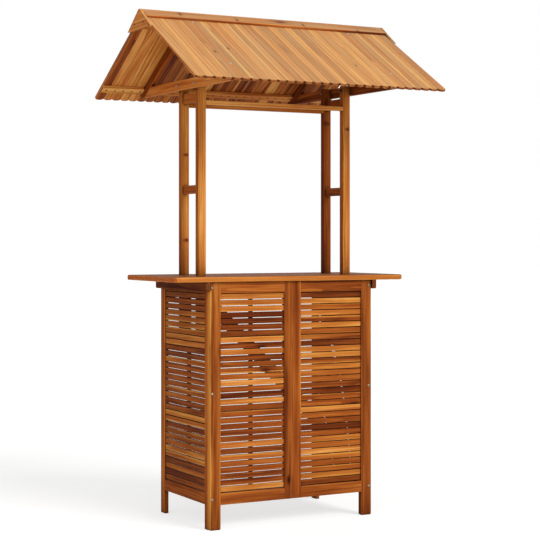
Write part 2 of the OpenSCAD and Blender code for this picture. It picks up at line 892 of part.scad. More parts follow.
front_roof_battens();
rear_roof_battens();
front_ridge_board();
rear_ridge_board();
left_gable_plate();
right_gable_plate();
panel_bolts();
post_bolts();
roof_bolts();
roof_screws();
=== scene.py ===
import bpy
import bmesh
import math
import random
import numpy as np
from mathutils import Matrix, Vector


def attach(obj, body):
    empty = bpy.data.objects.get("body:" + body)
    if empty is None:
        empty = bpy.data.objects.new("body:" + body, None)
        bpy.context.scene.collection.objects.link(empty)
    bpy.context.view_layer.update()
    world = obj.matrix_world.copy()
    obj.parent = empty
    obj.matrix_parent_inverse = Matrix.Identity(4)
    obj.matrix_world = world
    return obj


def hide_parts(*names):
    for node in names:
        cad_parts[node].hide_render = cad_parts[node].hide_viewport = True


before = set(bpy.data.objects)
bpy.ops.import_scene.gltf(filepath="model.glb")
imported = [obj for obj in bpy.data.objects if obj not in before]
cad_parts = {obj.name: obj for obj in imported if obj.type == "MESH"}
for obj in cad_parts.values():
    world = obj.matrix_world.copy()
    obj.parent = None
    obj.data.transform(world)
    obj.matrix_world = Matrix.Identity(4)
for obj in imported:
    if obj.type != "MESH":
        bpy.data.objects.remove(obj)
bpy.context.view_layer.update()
scene = bpy.context.scene
print("frame loaded with", len(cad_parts), "pieces")


cameraView = {      # the photograph's place, from left of the bar front
    "eye": (-3.1232, -5.7926, 1.2089),
    "yaw": 28.55,        # degrees from +Y towards +X
    "lensMm": 100.0,
    "shiftX": -0.0023,
    "shiftY": -0.0600,
}


def placeCamera(view):
    data = bpy.data.cameras.new("barCamera")
    data.lens = view["lensMm"]
    data.sensor_width = 36.0
    data.sensor_fit = "HORIZONTAL"
    data.shift_x = view["shiftX"]
    data.shift_y = view["shiftY"]
    camera = bpy.data.objects.new("barCamera", data)
    camera.location = view["eye"]
    camera.rotation_euler = (math.radians(90), 0, -math.radians(view["yaw"]))
    scene.collection.objects.link(camera)
    scene.camera = camera


placeCamera(cameraView)
print("camera placed")


# node helpers
def put(tree, kind, inputs=None, **settings):
    node = tree.nodes.new("ShaderNode" + kind)
    for key, value in settings.items():
        setattr(node, key, value)
    for key, value in (inputs or {}).items():
        if isinstance(value, bpy.types.NodeSocket):
            tree.links.new(value, node.inputs[key])
        else:
            node.inputs[key].default_value = value
    return node


def sums(tree, operation, a, b=None, c=None, clamp=False):
    node = put(tree, "Math", operation=operation, use_clamp=clamp)
    for i, value in enumerate((a, b, c)):
        if isinstance(value, bpy.types.NodeSocket):
            tree.links.new(value, node.inputs[i])
        elif value is not None:
            node.inputs[i].default_value = value
    return node.outputs[0]


def vectorSums(tree, operation, a, b):
    node = put(tree, "VectorMath", operation=operation)
    for i, value in enumerate((a, b)):
        if isinstance(value, bpy.types.NodeSocket):
            tree.links.new(value, node.inputs[i])
        else:
            node.inputs[i].default_value = value
    return node.outputs["Value"] if operation == "LENGTH" else node.outputs[0]


def ramped(tree, value, low, high, toLow=0.0, toHigh=1.0):
    return put(tree, "MapRange", {"Value": value, "From Min": low, "From Max": high,
                                  "To Min": toLow, "To Max": toHigh},
               interpolation_type="SMOOTHSTEP").outputs[0]


def blended(tree, factor, a, b, mode="MIX"):
    node = put(tree, "Mix", data_type="RGBA", blend_type=mode)
    for i, value in ((0, factor), (6, a), (7, b)):
        if isinstance(value, bpy.types.NodeSocket):
            tree.links.new(value, node.inputs[i])
        else:
            node.inputs[i].default_value = value
    return node.outputs[2]


# a linear colour from sRGB values of 0 to 255
def paint(r, g, b):
    linear = [((c / 255 + 0.055) / 1.055) ** 2.4 if c > 10 else c / 255 / 12.92 for c in (r, g, b)]
    return (*linear, 1.0)


def attribute(tree, name, output="Fac"):
    return put(tree, "Attribute", attribute_name=name).outputs[output]


def noisy(tree, vector, stretch, detail, roughness):
    scaled = vectorSums(tree, "MULTIPLY", vector, stretch)
    return put(tree, "TexNoise", {"Vector": scaled, "Scale": 1.0, "Detail": detail,
                                  "Roughness": roughness})


woodNoises = {      # how fine along the board and then across it, detail and roughness
    "wander": ((1.7, 9.0, 9.0), 1.0, 0.5), "figure": ((2.4, 25.0, 25.0), 3.0, 0.55),
    "streak": ((2.2, 95.0, 95.0), 4.0, 0.6), "fibre": ((9.0, 620.0, 620.0), 2.0, 0.6),
}
woodStretch = {      # along the board and then across it
    "wander": (0.0, 0.022, 0.022), "knotCells": (4.6, 13.0, 13.0), "rings": (0.07, 1.0, 1.0),
}
woodBands = {      # the values between which each effect sets in
    "eye": (0.19, 0.07), "halo": (0.42, 0.10), "sapEdge": (1.2, 1.5),
    "streakPores": (0.36, 0.20), "fibrePores": (0.2, 0.8),
    "endRings": (0.2, 0.9), "notchShadeBand": (1.1, 1.5), "edgeTintSpread": (0.35, 0.7), "patches": (0.25, 0.7),
    "upward": (0.5, 0.8), "sideways": (0.5, 0.85), "creaseShade": (0.8, 0.2), "room": (0.7, 0.3),
    "gloss": (0.25, 0.75),
}
woodShares = {      # how strong each effect is
    "knotEye": 0.45, "knotHalo": (2.2, 0.6),      # parts of the knot's radius
    "sapWander": 1.3, "fibrePores": 0.16, "endGrain": 0.85, "leastEdgeTint": 0.3,
    "roughSwing": (0.12, -0.05), "endRough": 0.15, "coatRough": 0.3,
    "streakRelief": 0.7, "fibreRelief": 0.35, "eyeRelief": 0.5, "reliefDepth": 0.0012,
}


# the patterns of oiled hardwood: every board brings its own grain direction and pith as mesh attributes
def grainPatterns(tree, look):
    # the grain wanders a little along the board
    grain = attribute(tree, "grain", "Vector")
    wander = noisy(tree, grain, *woodNoises["wander"]).outputs["Color"]
    wander = vectorSums(tree, "SUBTRACT", wander, (0.5, 0.5, 0.5))
    wander = vectorSums(tree, "MULTIPLY", wander, woodStretch["wander"])
    bent = vectorSums(tree, "ADD", grain, wander)
    bentPith = vectorSums(tree, "ADD", attribute(tree, "pith", "Vector"), wander)

    # knots, each a dark eye in a softer halo: rare ones anywhere, and the photograph's own at their spots
    cells = put(tree, "TexVoronoi", {"Vector": vectorSums(tree, "MULTIPLY", bent, woodStretch["knotCells"]),
                                     "Scale": 1.0, "Randomness": 1.0})
    cellTint = put(tree, "SeparateColor", {"Color": cells.outputs["Color"]}).outputs[0]
    gate = sums(tree, "GREATER_THAN", cellTint, look["knotRarity"])
    eye = sums(tree, "MULTIPLY", ramped(tree, cells.outputs["Distance"], *woodBands["eye"]), gate)
    halo = sums(tree, "MULTIPLY", ramped(tree, cells.outputs["Distance"], *woodBands["halo"]), gate)
    place = put(tree, "TexCoord").outputs["Object"]
    outer, inner = woodShares["knotHalo"]
    for spot, size in look["knots"]:
        away = vectorSums(tree, "SUBTRACT", place, spot)
        away = vectorSums(tree, "MULTIPLY", away, look["knotSquash"])
        away = vectorSums(tree, "LENGTH", away, (0, 0, 0))
        eye = sums(tree, "MAXIMUM", eye, ramped(tree, away, size, size * woodShares["knotEye"]))
        halo = sums(tree, "MAXIMUM", halo, ramped(tree, away, size * outer, size * inner))

    noises = {name: noisy(tree, bent, *woodNoises[name]).outputs["Fac"]
              for name in ("figure", "streak", "fibre")}
    rings = put(tree, "TexWave", {"Vector": vectorSums(tree, "MULTIPLY", bentPith, woodStretch["rings"]),
                                  "Scale": look["ringScale"], "Distortion": 3.2, "Detail": 2.0,
                                  "Detail Scale": 0.9, "Detail Roughness": 0.6},
                wave_type="RINGS", rings_direction="X", wave_profile="SAW").outputs["Fac"]
    return {**noises, "rings": rings, "eye": eye, "halo": halo}


# the wood as it was when new: its tone and blush, sapwood, pores and knots
def freshColour(tree, look, grain):
    shade = attribute(tree, "tone")
    for pattern in ("figure", "streak", "rings"):
        swing = sums(tree, "MULTIPLY", sums(tree, "SUBTRACT", grain[pattern], 0.5), look[pattern])
        shade = sums(tree, "ADD", shade, swing)
    knotShade = sums(tree, "MULTIPLY", grain["halo"], look["knotShade"])
    shade = sums(tree, "SUBTRACT", shade, knotShade, clamp=True)
    ramp = put(tree, "ValToRGB", {"Fac": shade})
    while len(ramp.color_ramp.elements) < len(look["stops"]):
        ramp.color_ramp.elements.new(0.5)
    for element, (at, tint) in zip(ramp.color_ramp.elements, look["stops"]):
        element.position = at
        element.color = paint(*tint)
    colour = ramp.outputs["Color"]
    redder = blended(tree, 1.0, colour, paint(*look["blushTint"]), "MULTIPLY")
    colour = blended(tree, attribute(tree, "blush"), colour, redder)

    # a pale strip of sapwood along one edge of some boards, as wide as the size of sap
    sap = attribute(tree, "sap")
    sideways = put(tree, "SeparateXYZ", {"Vector": attribute(tree, "across", "Vector")}).outputs["Y"]
    breadth = sums(tree, "MULTIPLY", sums(tree, "ABSOLUTE", sap), 2.0)
    reach = sums(tree, "MULTIPLY_ADD", sideways, sums(tree, "SIGN", sap), breadth)
    wander = sums(tree, "SUBTRACT", grain["figure"], 0.5)
    reach = sums(tree, "MULTIPLY_ADD", wander, woodShares["sapWander"], reach)
    strip = sums(tree, "MULTIPLY", ramped(tree, reach, *woodBands["sapEdge"]), look["sapShow"])
    colour = blended(tree, strip, colour, paint(*look["sapTint"]))

    # dark pores and mineral lines along the grain
    poreAndShadeTint = paint(*look["poreAndShadeTint"])
    coarse = ramped(tree, grain["streak"], *woodBands["streakPores"], 0.0, look["pores"])
    colour = blended(tree, coarse, colour, poreAndShadeTint)
    fine = ramped(tree, grain["fibre"], *woodBands["fibrePores"], 0.0, woodShares["fibrePores"])
    colour = blended(tree, fine, colour, poreAndShadeTint)
    return blended(tree, grain["eye"], colour, paint(*look["knotTint"]))


# what oil, use, sun and dust have made of it, and the painted shade and painted highlights laid over it
def wornColourAndPaintedLight(tree, look, grain, colour):
    # end grain drinks more oil, and the eased edges are tinted: paler, partly wear and partly painted
    # highlight, and on the slats darker, painted shade in the gaps between them
    endGrainAndNotchShade = attribute(tree, "endGrainAndNotchShade")
    endRings = ramped(tree, grain["rings"], *woodBands["endRings"])
    endTint = blended(tree, endRings, paint(*look["endDark"]), paint(*look["endPale"]))
    colour = blended(tree, sums(tree, "MULTIPLY", endGrainAndNotchShade, woodShares["endGrain"]), colour, endTint)
    # painted shade in the notches where rounded board ends meet
    colour = blended(tree, ramped(tree, endGrainAndNotchShade, *woodBands["notchShadeBand"]), colour, paint(*look["poreAndShadeTint"]))
    leastEdgeTint = look["edgeWearAndPaintedLight"] * woodShares["leastEdgeTint"]
    edgeWearAndPaintedLight = ramped(tree, grain["figure"], *woodBands["edgeTintSpread"], leastEdgeTint, look["edgeWearAndPaintedLight"])
    edgeWearAndPaintedLight = sums(tree, "MULTIPLY", attribute(tree, "eased"), edgeWearAndPaintedLight)
    colour = blended(tree, edgeWearAndPaintedLight, colour, paint(*look["edgeWearAndPaintedLightTint"]))

    facing = put(tree, "SeparateXYZ", {"Vector": put(tree, "NewGeometry").outputs["Normal"]}).outputs
    if look.get("paintedTopTint"):      # the upward face: on the counter it is painted darker, painted shade; on the roof it is paler, partly sun bleaching and partly painted sheen
        patches = ramped(tree, grain["figure"], *woodBands["patches"], *look["paintedTopShow"])
        paintedTop = sums(tree, "MULTIPLY", ramped(tree, facing["Z"], *woodBands["upward"]), patches)
        paintedTop = sums(tree, "MULTIPLY", paintedTop, sums(tree, "SUBTRACT", 1.0, grain["eye"]))
        paintedTopColour = blended(tree, 1.0, colour, paint(*look["paintedTopTint"]), look["paintedTopBlend"])
        colour = blended(tree, paintedTop, colour, paintedTopColour)

    if look.get("sideShadeTint"):      # painted shade: the left and right faces are darkened for the weaker light they get
        lean = sums(tree, "ABSOLUTE", facing["X"])
        sideShaded = blended(tree, 1.0, colour, paint(*look["sideShadeTint"]), "MULTIPLY")
        colour = blended(tree, ramped(tree, lean, *woodBands["sideways"]), colour, sideShaded)

    # painted shade: ambient occlusion darkens the joints, grooves and gaps, where shade falls
    creaseShade = put(tree, "AmbientOcclusion", {"Distance": look["creaseShadeReach"]}, samples=6).outputs["AO"]
    creaseShading = ramped(tree, creaseShade, *woodBands["creaseShade"], 0.0, look["creaseShade"])
    colour = blended(tree, creaseShading, colour, paint(*look["creaseShadeTint"]))

    if look.get("inside"):      # painted shade: the inside of the cabinet is darkened where ambient occlusion finds it closed in
        room = put(tree, "AmbientOcclusion", {"Distance": look["insideReach"]}, samples=6).outputs["AO"]
        insideShadeColour = blended(tree, 1.0, colour, paint(*look["insideTint"]), "MULTIPLY")
        shaded = ramped(tree, room, *woodBands["room"], 0.0, look["inside"])
        colour = blended(tree, shaded, colour, insideShadeColour)
    return colour


def oiledWood(name, look):
    wood = bpy.data.materials.new(name)
    wood.use_nodes = True
    tree = wood.node_tree
    tree.nodes.clear()
    grain = grainPatterns(tree, look)
    colour = wornColourAndPaintedLight(tree, look, grain, freshColour(tree, look, grain))

    dull, bright = (look["rough"] + swing for swing in woodShares["roughSwing"])
    rough = ramped(tree, grain["streak"], *woodBands["gloss"], dull, bright)
    endRough = sums(tree, "MULTIPLY", attribute(tree, "endGrainAndNotchShade"), woodShares["endRough"])
    relief = sums(tree, "ADD", sums(tree, "MULTIPLY", grain["streak"], woodShares["streakRelief"]),
                  sums(tree, "MULTIPLY", grain["fibre"], woodShares["fibreRelief"]))
    eyeRelief = sums(tree, "MULTIPLY", grain["eye"], woodShares["eyeRelief"])
    bump = put(tree, "Bump", {"Height": sums(tree, "SUBTRACT", relief, eyeRelief),
                              "Strength": look["bump"], "Distance": woodShares["reliefDepth"]})
    shader = put(tree, "BsdfPrincipled", {
        "Base Color": colour, "Roughness": sums(tree, "ADD", rough, endRough),
        "Normal": bump.outputs["Normal"], "Specular IOR Level": look["specular"],
        "Coat Weight": look["coat"], "Coat Roughness": woodShares["coatRough"]})
    put(tree, "OutputMaterial", {"Surface": shader.outputs[0]})
    return wood


# colours go from 0 to 255, reaches are in metres, and a knot is a spot and a radius in metres
frameLook = {
    "stops": [(0.0, (54, 18, 6)), (0.28, (102, 46, 16)), (0.52, (150, 80, 29)),
              (0.76, (188, 118, 49)), (1.0, (224, 168, 92))],
    "blushTint": (236, 186, 160), "poreAndShadeTint": (70, 26, 9),
    "knotTint": (44, 16, 7), "knotShade": 0.28, "knotRarity": 0.93,
    "sapTint": (206, 138, 58), "sapShow": 0.7,
    "endDark": (84, 38, 16), "endPale": (128, 70, 32), "edgeWearAndPaintedLightTint": (206, 136, 66),
    "figure": 0.78, "streak": 0.38, "rings": 0.20, "ringScale": 30.0,
    "pores": 0.4, "edgeWearAndPaintedLight": 0.22, "rough": 0.54, "bump": 0.3, "specular": 0.03, "coat": 0.01,
    # painted shade darkens the creases
    "creaseShade": 0.9, "creaseShadeReach": 0.020, "creaseShadeTint": (28, 10, 4),
    # painted shade inside the cabinet
    "inside": 0.9, "insideReach": 0.35, "insideTint": (112, 88, 78),
    "knotSquash": (1.0, 1.0, 0.45),
    "knots": [((-0.020, -0.244, 0.182), 0.006)],
}
# slats: their eased edges are painted dark, painted shade in the gaps between slats
slatLook = dict(frameLook, figure=0.72, streak=0.36, rings=0.16, specular=0.035,
                edgeWearAndPaintedLight=0.8, edgeWearAndPaintedLightTint=(52, 20, 7), knotRarity=0.955, knotShade=0.12, knotTint=(66, 26, 10),
                knotSquash=(0.4, 1.0, 1.0), knots=[((-0.150, -0.238, 0.752), 0.008)])
# posts: painted shade on their left and right faces
postLook = dict(frameLook, sideShadeTint=(206, 190, 180), knotTint=(104, 48, 22), knotSquash=(0.5, 1.0, 1.0),
                knots=[((-0.349, 0.068, 1.198), 0.006), ((-0.352, 0.068, 1.566), 0.005),
                       ((0.362, -0.098, 1.690), 0.005), ((0.352, 0.068, 1.726), 0.006)])
roofLook = {
    "stops": [(0.0, (64, 24, 8)), (0.28, (116, 54, 19)), (0.52, (166, 92, 35)),
              (0.76, (198, 126, 54)), (1.0, (226, 166, 88))],
    "blushTint": (238, 190, 165), "poreAndShadeTint": (92, 42, 17), "knotTint": (126, 60, 32), "knotShade": 0.28,
    "sapTint": (232, 178, 100), "sapShow": 0.75,
    # roof: pale eased edges, partly wear and partly painted highlight along the seams
    "endDark": (112, 56, 24), "endPale": (158, 92, 44), "edgeWearAndPaintedLightTint": (228, 176, 116),
    # roof boards: paler upward faces, partly sun bleaching and partly painted sheen
    "paintedTopTint": (232, 188, 130), "paintedTopBlend": "MIX", "paintedTopShow": (0.52, 0.24),
    "figure": 1.04, "streak": 0.68, "rings": 0.32, "ringScale": 28.0, "knotRarity": 0.95,
    "pores": 0.4, "edgeWearAndPaintedLight": 0.35, "rough": 0.48, "bump": 0.3, "specular": 0.06, "coat": 0.01,
    # painted shade darkens the seams and creases
    "creaseShade": 0.55, "creaseShadeReach": 0.012, "creaseShadeTint": (60, 27, 11),
    "knotSquash": (1.0, 0.45, 0.6),
    "knots": [((-0.424, -0.024, 2.157), 0.008), ((-0.160, -0.037, 2.148), 0.007),
              ((0.169, -0.036, 2.149), 0.007), ((0.444, -0.053, 2.138), 0.007),
              ((-0.404, -0.314, 1.965), 0.007), ((-0.327, -0.280, 1.986), 0.006),
              ((0.244, -0.357, 1.939), 0.005)],
}
# counter: the top face is painted darker than the front edge, painted shade
counterLook = dict(frameLook, endDark=(140, 62, 26), endPale=(186, 98, 46), figure=0.44, streak=0.28,
                   knotRarity=0.97, knots=[], edgeWearAndPaintedLight=0.5, rough=0.5, specular=0.06,
                   paintedTopTint=(170, 150, 172), paintedTopBlend="MULTIPLY", paintedTopShow=(0.95, 0.7))

frameWood = oiledWood("oiledFrameWood", frameLook)
postWood = oiledWood("oiledPostWood", postLook)
slatWood = oiledWood("oiledSlatWood", slatLook)
roofWood = oiledWood("oiledRoofWood", roofLook)
counterWood = oiledWood("oiledCounterWood", counterLook)


steelFinish = {      # shared by all fasteners; scales are per metre
    "bloomScale": 420.0, "bloom": (0.35, 0.7), "scuffScale": 1900.0, "scuff": (0.3, 0.7),
    "roughSwing": (-0.08, 0.12), "relief": 0.12, "reliefDepth": 0.0002,
}


def platedSteel(name, look):
    steel = bpy.data.materials.new(name)
    steel.use_nodes = True
    tree = steel.node_tree
    tree.nodes.clear()
    place = put(tree, "TexCoord").outputs["Object"]
    bloom = put(tree, "TexNoise", {"Vector": place, "Scale": steelFinish["bloomScale"],
                                   "Detail": 3.0, "Roughness": 0.6}).outputs["Fac"]
    scuff = put(tree, "TexNoise", {"Vector": place, "Scale": steelFinish["scuffScale"],
                                   "Detail": 2.0}).outputs["Fac"]
    bloom = ramped(tree, bloom, *steelFinish["bloom"])
    colour = blended(tree, bloom, paint(*look["dark"]), paint(*look["pale"]))
    bright, dull = (look["rough"] + swing for swing in steelFinish["roughSwing"])
    rough = ramped(tree, scuff, *steelFinish["scuff"], bright, dull)
    bump = put(tree, "Bump", {"Height": scuff, "Strength": steelFinish["relief"],
                              "Distance": steelFinish["reliefDepth"]})
    shader = put(tree, "BsdfPrincipled", {"Base Color": colour, "Roughness": rough,
                                          "Normal": bump.outputs["Normal"], "Metallic": look["metallic"]})
    put(tree, "OutputMaterial", {"Surface": shader.outputs[0]})
    return steel


steelLooks = {
    "zincPlatedSteel": {"dark": (118, 102, 84), "pale": (182, 168, 148), "rough": 0.36, "metallic": 0.9},
    "bronzedSteel": {"dark": (44, 26, 16), "pale": (84, 56, 36), "rough": 0.42, "metallic": 0.7},
    "paleZincSteel": {"dark": (150, 134, 112), "pale": (208, 194, 172), "rough": 0.46, "metallic": 0.35},
    "blackenedSteel": {"dark": (26, 26, 30), "pale": (58, 60, 66), "rough": 0.38, "metallic": 0.8},
}
steels = {name: platedSteel(name, look) for name, look in steelLooks.items()}
print("materials made")


# how the grain of sloping boards lies
pitch = math.atan(0.6)      # the roof rises 0.6 for every 1 inwards
lay = {
    "level": Matrix.Identity(3),
    "frontSlope": Matrix.Rotation(pitch, 3, "X"),
    "rearSlope": Matrix.Rotation(-pitch, 3, "X"),
    "brace": Matrix.Rotation(math.radians(45), 3, "Y"),
}


boardCut = {      # lengths in metres, angles in radians
    "weld": 0.00002, "flat": math.radians(0.4),
    "sharp": 0.6,           # an edge that turns more than this is eased
    "hollow": 0.03,         # an inward edge that turns more than this marks a groove or a hole
    "rimSlack": 0.0005, "level": 0.0001, "rimSegments": 4, "easeSegments": 2,
    "sapFrom": 0.42,        # a darker tone has no sapwood
    "notch": (0.15, 0.9),   # how far the side of a rounded end leans along the grain
    "notchShade": 1.6,        # painted shade where rounded ends meet: the value given to these faces, past the band where it sets in; end grain has 1
    "thinnest": 0.001,
}
boardDraws = {      # metres: where a board's grain and pith lie in the patterns, drawn at random
    "shift": (-9, 9), "pith": ((-1, 1), (-0.035, 0.035), (0.012, 0.07)),
}
boardLook = {      # what holds where a board's own look says nothing
    "lay": "level", "order": (0, 0, -1), "grainAxis": None, "plain": False, "rim": None,
    "blush": (0.0, 0.4), "sap": (0.0, 0.0), "sapSide": None,
    "golden": (), "goldenTones": (0.70, 0.82), "dark": (), "darkTones": (0.18, 0.30),
    "notched": False,
    "endFrom": 0.7,         # a face that leans more than this along the grain shows end grain
}


# the vertices of each separate solid
def splitSolids(bm):
    bm.verts.ensure_lookup_table()
    seen = set()
    solids = []
    for start in bm.verts:
        if start.index in seen:
            continue
        seen.add(start.index)
        group, queue = [], [start]
        while queue:
            vert = queue.pop()
            group.append(vert)
            for edge in vert.link_edges:
                other = edge.other_vert(vert)
                if other.index not in seen:
                    seen.add(other.index)
                    queue.append(other)
        solids.append(group)
    return solids


def sharpEdges(bm, hollow):
    return [edge for edge in bm.edges
            if len(edge.link_faces) == 2 and edge.is_convex and edge.calc_face_angle(0) > boardCut["sharp"]
            and not any(face in hollow for face in edge.link_faces)]


# the hull of each solid, for boards with no grooves: it drops the screw holes, which heads cover
def plainHulls(bm):
    whole = bmesh.new()
    for group in splitSolids(bm):
        corners = [whole.verts.new(vert.co) for vert in group]
        hull = bmesh.ops.convex_hull(whole, input=corners, use_existing_faces=False)
        spare = set(hull["geom_interior"] + hull["geom_unused"])
        spare = [item for item in spare if isinstance(item, bmesh.types.BMVert)]
        bmesh.ops.delete(whole, geom=spare, context="VERTS")
    bm.free()
    return whole


def roundEdges(bm, edges, reach, segments):
    easedLayer = bm.faces.layers.float["eased"]
    made = bmesh.ops.bevel(bm, geom=edges, offset=reach, offset_type="OFFSET", segments=segments,
                           profile=0.5, affect="EDGES", clamp_overlap=False)
    for face in made["faces"]:
        face[easedLayer] = 1.0


# ease the outer edges, but leave grooves, mortises, holes and shoulders sharp
def easeEdges(bm, look):
    bm.faces.layers.float.new("eased")
    hollow = set()
    for face in bm.faces:
        for edge in face.edges:
            inward = len(edge.link_faces) == 2 and not edge.is_convex
            if inward and edge.calc_face_angle(0) > boardCut["hollow"]:
                hollow.add(face)
                break
    if look["rim"]:      # the outline of the whole top is rounder than its joints
        points = np.array([tuple(vert.co) for vert in bm.verts])
        low, high = points.min(0), points.max(0)
        outline = []
        for edge in sharpEdges(bm, hollow):
            middle = (edge.verts[0].co + edge.verts[1].co) / 2
            slack = [min(abs(middle[i] - low[i]), abs(middle[i] - high[i])) for i in range(2)]
            level = abs(edge.verts[0].co.z - edge.verts[1].co.z) < boardCut["level"]
            if level and (min(slack) < boardCut["rimSlack"] or max(slack) < look["corner"]):
                outline.append(edge)
        roundEdges(bm, outline, look["rim"], boardCut["rimSegments"])
        bm.normal_update()
    roundEdges(bm, sharpEdges(bm, hollow), look["ease"], boardCut["easeSegments"])


# every solid is a board with a tone of its own, numbered in the direction of the look's order
def markBoards(bm, look):
    grainLayer = bm.verts.layers.float_vector.new("grain")
    pithLayer = bm.verts.layers.float_vector.new("pith")
    acrossLayer = bm.verts.layers.float_vector.new("across")
    toneLayer = bm.verts.layers.float.new("tone")
    blushLayer = bm.verts.layers.float.new("blush")
    sapLayer = bm.verts.layers.float.new("sap")
    endLayer = bm.faces.layers.float.new("endGrainAndNotchShade")
    turn = lay[look["lay"]]
    back = turn.transposed()
    rng = random.Random(look["seed"])
    solids = splitSolids(bm)
    order = Vector(look["order"])
    solids.sort(key=lambda group: sum(round(vert.co.dot(order), 4) for vert in group) / len(group))
    for number, group in enumerate(solids):
        local = np.array([tuple(back @ vert.co) for vert in group])
        low, high = local.min(0), local.max(0)
        along = list(np.argsort(low - high))      # longest side first
        if look["grainAxis"] is not None:
            along.remove(look["grainAxis"])
            along.insert(0, look["grainAxis"])
        middle = (low + high) / 2
        shift = Vector([rng.uniform(*boardDraws["shift"]) for axis in range(3)])
        pithShift = Vector([rng.uniform(*reach) for reach in boardDraws["pith"]])
        tone = rng.uniform(*look["tones"])
        if number in look["golden"]:
            tone = rng.uniform(*look["goldenTones"])
        if number in look["dark"]:
            tone = rng.uniform(*look["darkTones"])
        blush = rng.uniform(*look["blush"])
        sap = rng.choice((-1, 1)) * rng.uniform(*look["sap"])
        if tone < boardCut["sapFrom"]:
            sap = 0.0
        if look["sapSide"] is not None:
            sap = look["sapSide"]
        half = [max(high[axis] - low[axis], boardCut["thinnest"]) / 2 for axis in along]
        for vert, point in zip(group, local):
            own = Vector([point[axis] - middle[axis] for axis in along])
            vert[grainLayer] = own + shift
            vert[pithLayer] = own + pithShift
            vert[acrossLayer] = [own[i] / half[i] for i in range(3)]
            vert[toneLayer] = tone
            vert[blushLayer] = blush
            vert[sapLayer] = sap
        grainWay = turn @ Vector([1.0 if axis == along[0] else 0.0 for axis in range(3)])
        for face in {face for vert in group for face in vert.link_faces}:
            lean = abs(face.normal.dot(grainWay))
            face[endLayer] = 1.0 if lean > look["endFrom"] else 0.0
            if look["notched"] and boardCut["notch"][0] < lean < boardCut["notch"][1]:
                face[endLayer] = boardCut["notchShade"]      # painted shade where rounded ends meet


def dressBoards(nodeName, wood, look):
    look = {**boardLook, **look}
    bm = bmesh.new()
    bm.from_mesh(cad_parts[nodeName].data)
    for layer in list(bm.loops.layers.uv):
        bm.loops.layers.uv.remove(layer)
    bmesh.ops.remove_doubles(bm, verts=bm.verts, dist=boardCut["weld"])
    if look["plain"]:
        bm = plainHulls(bm)
    bmesh.ops.dissolve_limit(bm, angle_limit=boardCut["flat"], verts=bm.verts, edges=bm.edges)
    bm.normal_update()
    easeEdges(bm, look)
    markBoards(bm, look)
    mesh = bpy.data.meshes.new(nodeName + "_eased")
    bm.to_mesh(mesh)
    bm.free()
    mesh.materials.append(wood)
    piece = bpy.data.objects.new(nodeName + "_eased", mesh)
    scene.collection.objects.link(piece)
    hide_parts(nodeName)
    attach(piece, "root")


# tones go from 0, the darkest wood, to 1, and blush from brown to red
frameBoards = {
    "left_front_leg": {"tones": (0.62, 0.66), "blush": (0.6, 0.8)},
    "right_front_leg": {"tones": (0.58, 0.64)},
    "left_rear_leg": {"tones": (0.52, 0.58)}, "right_rear_leg": {"tones": (0.46, 0.54)},
    "left_side_top_rail": {"tones": (0.40, 0.46)}, "right_side_top_rail": {"tones": (0.42, 0.5)},
    "left_side_bottom_rail": {"tones": (0.5, 0.56)}, "right_side_bottom_rail": {"tones": (0.46, 0.54)},
    "left_side_batten": {"tones": (0.4, 0.5)}, "right_side_batten": {"tones": (0.4, 0.5)},
    "left_outer_stile": {"tones": (0.48, 0.52), "sapSide": -0.31},
    "right_outer_stile": {"tones": (0.44, 0.48), "sapSide": 0.06},
    "left_centre_stile": {"tones": (0.40, 0.44), "sapSide": 0.08},
    "right_centre_stile": {"tones": (0.42, 0.46), "sapSide": 0.22},
    "left_panel_top_rail": {"tones": (0.49, 0.53)}, "right_panel_top_rail": {"tones": (0.32, 0.36)},
    "left_panel_bottom_rail": {"tones": (0.53, 0.56)}, "right_panel_bottom_rail": {"tones": (0.54, 0.58)},
    "left_panel_batten": {"tones": (0.4, 0.5)}, "right_panel_batten": {"tones": (0.4, 0.5)},
    "shelf_bearers": {"tones": (0.42, 0.56)}, "shelf_battens": {"tones": (0.42, 0.56)},
    "upper_shelf_boards": {"tones": (0.48, 0.62)}, "lower_shelf_boards": {"tones": (0.48, 0.62)},
    "rear_top_rail": {"tones": (0.5, 0.56)},
    "rear_brace": {"tones": (0.48, 0.56), "lay": "brace"},
    # the cleats' dark tone is partly their wood and partly painted shade under the counter
    "left_counter_cleat": {"tones": (0.22, 0.28)}, "right_counter_cleat": {"tones": (0.22, 0.28)},
    "left_front_post": {"tones": (0.68, 0.72), "ease": 0.002, "plain": True, "sapSide": 0.25},
    "left_rear_post": {"tones": (0.70, 0.74), "ease": 0.002, "plain": True, "sapSide": 0.18},
    "right_front_post": {"tones": (0.66, 0.70), "ease": 0.002, "plain": True, "sapSide": 0.2},
    # the right rear post's darker tone is painted shade from the front post
    "right_rear_post": {"tones": (0.44, 0.48), "ease": 0.002, "plain": True},
    "left_ladder_rails": {"tones": (0.50, 0.56)}, "right_ladder_rails": {"tones": (0.40, 0.48)},
    "front_crossbar": {"tones": (0.92, 0.98)}, "rear_crossbar": {"tones": (0.66, 0.72)},
    "left_tie_beam": {"tones": (0.82, 0.86), "blush": (0.6, 0.8), "plain": True},
    "right_tie_beam": {"tones": (0.30, 0.36), "plain": True},
    "left_front_rafter": {"tones": (0.50, 0.54), "blush": (0.5, 0.7), "lay": "frontSlope", "plain": True},
    "left_rear_rafter": {"tones": (0.44, 0.48), "blush": (0.5, 0.7), "lay": "rearSlope", "plain": True},
    "right_front_rafter": {"tones": (0.32, 0.38), "lay": "frontSlope", "plain": True},
    "right_rear_rafter": {"tones": (0.30, 0.36), "lay": "rearSlope", "plain": True},
}
for seed, (nodeName, look) in enumerate(frameBoards.items()):
    wood = postWood if nodeName.endswith("_post") else frameWood
    dressBoards(nodeName, wood, {"ease": 0.0014, "seed": 100 + seed, **look})
print("frame boards dressed:", len(frameBoards))

